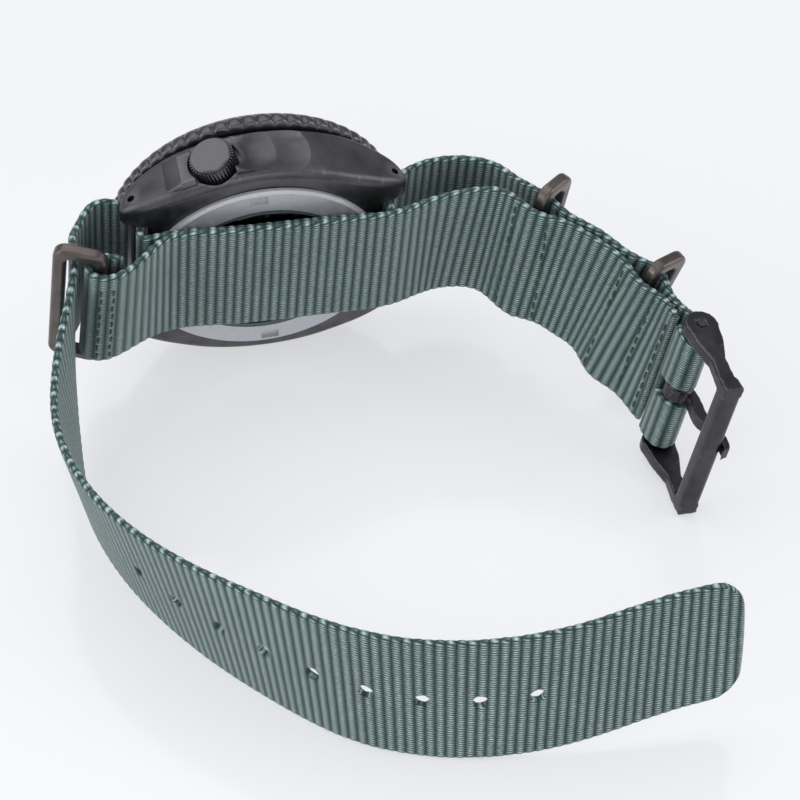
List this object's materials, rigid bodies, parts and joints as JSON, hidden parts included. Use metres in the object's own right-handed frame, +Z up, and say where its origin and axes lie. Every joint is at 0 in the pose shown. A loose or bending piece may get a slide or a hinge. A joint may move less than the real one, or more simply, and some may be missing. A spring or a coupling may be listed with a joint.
{
  "type": "dive watch",
  "caption": "Mechanical dive watch on a pull-through ribbed nylon strap, lying on its side: turning bezel, pull-out crown, hands, gear train, winding rotor, strap rings and pin buckle.",
  "frame": {"origin": "bottom centre of the whole object's box, on the surface that the watch lies on", "axes": "+Z up, with 3 o'clock up; +Y close to the dial axis, from case back to dial; +X close to the 12 o'clock direction"},
  "size_m": [0.0938, 0.0958, 0.0433],
  "materials": {
    "gunmetal_case": "bead-blasted dark coating",
    "bezel_metal": "dark coating, brushed",
    "bezel_scale": "anodised dark",
    "back_steel": "satin turned",
    "clear_crystal": "polished",
    "seal_rubber": "matte",
    "window_seal": "satin",
    "dial_paint": "sunray lacquer",
    "chapter_paint": "satin lacquer",
    "lume": "luminous paint in frames",
    "hand_metal": "polished",
    "calendar_print": "printed",
    "movement_plate": "nickel plated, striped",
    "movement_brass": "gilt",
    "movement_steel": "ground",
    "rotor_metal": "striped",
    "holder_plastic": "moulded",
    "bar_steel": "ground",
    "nylon": "ribbed woven nylon",
    "strap_hardware": "gunmetal coating"
  },
  "bodies": {
    "watch": {"case_body": "gunmetal_case", "bezel_gasket": "seal_rubber", "bezel_click_spring": "movement_steel", "crystal": "clear_crystal", "crystal_gasket": "seal_rubber", "chapter_ring": "chapter_paint", "dial": "dial_paint", "hour_markers": "lume", "main_plate": "movement_plate", "train_bridge": "movement_plate", "movement_screws": "movement_steel", "movement_holder": "holder_plastic", "balance_cock": "movement_plate", "rotor_bearing": "movement_steel", "crown_tube": "gunmetal_case", "case_back_ring": "back_steel", "case_back_gasket": "seal_rubber", "back_glass": "clear_crystal", "back_glass_gasket": "window_seal", "spring_bar_12": "bar_steel", "spring_bar_6": "bar_steel", "bar_springs": "movement_steel", "strap_long": "nylon", "strap_short": "nylon", "buckle_pin": "strap_hardware"},
    "bezel": {"bezel_ring": "bezel_metal", "bezel_insert": "bezel_scale"},
    "clutch": {"sliding_pinion": "movement_steel"},
    "crown": {"crown": "gunmetal_case", "crown_gasket": "seal_rubber", "winding_stem": "movement_steel"},
    "minute_hand_body": {"cannon_pinion": "movement_steel", "minute_hand": "hand_metal"},
    "minute_wheel_body": {"minute_wheel": "movement_brass"},
    "hour_hand_body": {"hour_wheel": "movement_brass", "hour_hand": "hand_metal"},
    "seconds_body": {"fourth_wheel": "movement_brass", "second_hand": "hand_metal"},
    "third_wheel_body": {"third_wheel": "movement_brass"},
    "centre_wheel_body": {"centre_wheel": "movement_brass"},
    "escape_wheel_body": {"escape_wheel": "movement_steel"},
    "pallet_fork_body": {"pallet_fork": "movement_steel"},
    "balance_body": {"balance_wheel": "movement_brass", "hairspring": "movement_steel"},
    "barrel_body": {"mainspring_barrel": "movement_brass", "mainspring": "movement_steel"},
    "ratchet_body": {"ratchet_wheel": "movement_steel", "barrel_arbor": "movement_steel"},
    "date_body": {"date_disc": "calendar_print"},
    "day_body": {"day_disc": "calendar_print"},
    "rotor_body": {"rotor": "rotor_metal"},
    "tip_12_upper": {"bar_tip_12_upper": "bar_steel"},
    "tip_12_lower": {"bar_tip_12_lower": "bar_steel"},
    "tip_6_upper": {"bar_tip_6_upper": "bar_steel"},
    "tip_6_lower": {"bar_tip_6_lower": "bar_steel"},
    "left_ring_body": {"left_ring": "strap_hardware"},
    "first_keeper_body": {"first_keeper": "strap_hardware"},
    "second_keeper_body": {"second_keeper": "strap_hardware"},
    "buckle_body": {"buckle_frame": "strap_hardware"},
    "tongue_body": {"buckle_tongue": "strap_hardware"}
  },
  "joints": [
    {"name": "bezel_turn", "type": "hinge", "parent": "watch", "child": "bezel", "pos_m": [-0.01276, 0.04288, 0.02205], "axis": [0, 0.9848, 0.1736], "continuous": true},
    {"name": "crown_turn", "type": "hinge", "parent": "watch", "child": "clutch", "pos_m": [-0.01914, 0.0334, 0.0407], "axis": [-0.304, -0.1654, 0.9382], "continuous": true},
    {"name": "crown_pull", "type": "slide", "parent": "clutch", "child": "crown", "axis": [-0.304, -0.1654, 0.9382], "range_m": [0, 0.0015]},
    {"name": "minute_turn", "type": "hinge", "parent": "watch", "child": "minute_hand_body", "pos_m": [-0.01276, 0.03993, 0.02153], "axis": [0, 0.9848, 0.1736], "continuous": true},
    {"name": "minute_wheel_turn", "type": "hinge", "parent": "watch", "child": "minute_wheel_body", "pos_m": [-0.01468, 0.03947, 0.01836], "axis": [0, 0.9848, 0.1736], "continuous": true},
    {"name": "hour_turn", "type": "hinge", "parent": "watch", "child": "hour_hand_body", "pos_m": [-0.01276, 0.03993, 0.02153], "axis": [0, 0.9848, 0.1736], "continuous": true},
    {"name": "seconds_turn", "type": "hinge", "parent": "watch", "child": "seconds_body", "pos_m": [-0.01276, 0.03796, 0.02119], "axis": [0, 0.9848, 0.1736], "continuous": true},
    {"name": "third_wheel_turn", "type": "hinge", "parent": "watch", "child": "third_wheel_body", "pos_m": [-0.01468, 0.03779, 0.0164], "axis": [0, 0.9848, 0.1736], "continuous": true},
    {"name": "centre_wheel_turn", "type": "hinge", "parent": "watch", "child": "centre_wheel_body", "pos_m": [-0.01276, 0.03737, 0.02108], "axis": [0, 0.9848, 0.1736], "continuous": true},
    {"name": "escape_wheel_turn", "type": "hinge", "parent": "watch", "child": "escape_wheel_body", "pos_m": [-0.01109, 0.03627, 0.02502], "axis": [0, 0.9848, 0.1736], "continuous": true},
    {"name": "pallet_fork_rock", "type": "hinge", "parent": "watch", "child": "pallet_fork_body", "pos_m": [-0.0088, 0.03618, 0.02553], "axis": [0, 0.9848, 0.1736], "range_deg": [-5, 5]},
    {"name": "balance_swing", "type": "hinge", "parent": "watch", "child": "balance_body", "pos_m": [-0.005, 0.0363, 0.02485], "axis": [0, 0.9848, 0.1736], "range_deg": [-270, 270], "stiffness_Nm_per_rad": 0.000002},
    {"name": "barrel_turn", "type": "hinge", "parent": "watch", "child": "barrel_body", "pos_m": [-0.00628, 0.03796, 0.01543], "axis": [0, 0.9848, 0.1736], "continuous": true},
    {"name": "ratchet_turn", "type": "hinge", "parent": "watch", "child": "ratchet_body", "pos_m": [-0.00628, 0.03599, 0.01509], "axis": [0, 0.9848, 0.1736], "continuous": true},
    {"name": "date_disc_turn", "type": "hinge", "parent": "watch", "child": "date_body", "pos_m": [-0.01276, 0.03845, 0.02127], "axis": [0, 0.9848, 0.1736], "continuous": true},
    {"name": "day_disc_turn", "type": "hinge", "parent": "watch", "child": "day_body", "pos_m": [-0.01276, 0.03924, 0.02141], "axis": [0, 0.9848, 0.1736], "continuous": true},
    {"name": "rotor_swing", "type": "hinge", "parent": "watch", "child": "rotor_body", "pos_m": [-0.01276, 0.03402, 0.02049], "axis": [0, 0.9848, 0.1736], "continuous": true},
    {"name": "tip_12_upper_press", "type": "slide", "parent": "watch", "child": "tip_12_upper", "axis": [-0.0401, 0.1735, -0.984], "range_m": [0, 0.0016], "stiffness_N_per_m": 300},
    {"name": "tip_12_lower_press", "type": "slide", "parent": "watch", "child": "tip_12_lower", "axis": [0.0401, -0.1735, 0.984], "range_m": [0, 0.0016], "stiffness_N_per_m": 300},
    {"name": "tip_6_upper_press", "type": "slide", "parent": "watch", "child": "tip_6_upper", "axis": [-0.0401, 0.1735, -0.984], "range_m": [0, 0.0016], "stiffness_N_per_m": 300},
    {"name": "tip_6_lower_press", "type": "slide", "parent": "watch", "child": "tip_6_lower", "axis": [0.0401, -0.1735, 0.984], "range_m": [0, 0.0016], "stiffness_N_per_m": 300},
    {"name": "left_ring_swing", "type": "hinge", "parent": "watch", "child": "left_ring_body", "pos_m": [-0.03766, 0.02695, 0.02194], "axis": [0.077, -0.2599, 0.9626], "range_deg": [-4, 4]},
    {"name": "first_keeper_swing", "type": "hinge", "parent": "watch", "child": "first_keeper_body", "pos_m": [0.02524, 0.02695, 0.02094], "axis": [0.1475, -0.1081, 0.9831], "range_deg": [-25, 12]},
    {"name": "second_keeper_swing", "type": "hinge", "parent": "watch", "child": "second_keeper_body", "pos_m": [0.03704, 0.01445, 0.01664], "axis": [0.2568, -0.1712, 0.9512], "range_deg": [-25, 25]},
    {"name": "buckle_swing", "type": "hinge", "parent": "watch", "child": "buckle_body", "pos_m": [0.04174, 0.00205, 0.01464], "axis": [0.1671, -0.0786, 0.9828], "range_deg": [-35, 10]},
    {"name": "tongue_swing", "type": "hinge", "parent": "buckle_body", "child": "tongue_body", "pos_m": [0.04174, 0.00205, 0.01464], "axis": [0.1671, -0.0786, 0.9828], "range_deg": [0, 50]}
  ],
  "couplings": [
    {"joint": "minute_wheel_turn", "follows": "minute_turn", "ratio": -0.33333},
    {"joint": "hour_turn", "follows": "minute_turn", "ratio": 0.083333},
    {"joint": "third_wheel_turn", "follows": "seconds_turn", "ratio": -0.13333},
    {"joint": "centre_wheel_turn", "follows": "seconds_turn", "ratio": 0.016667},
    {"joint": "escape_wheel_turn", "follows": "seconds_turn", "ratio": -9}
  ]
}
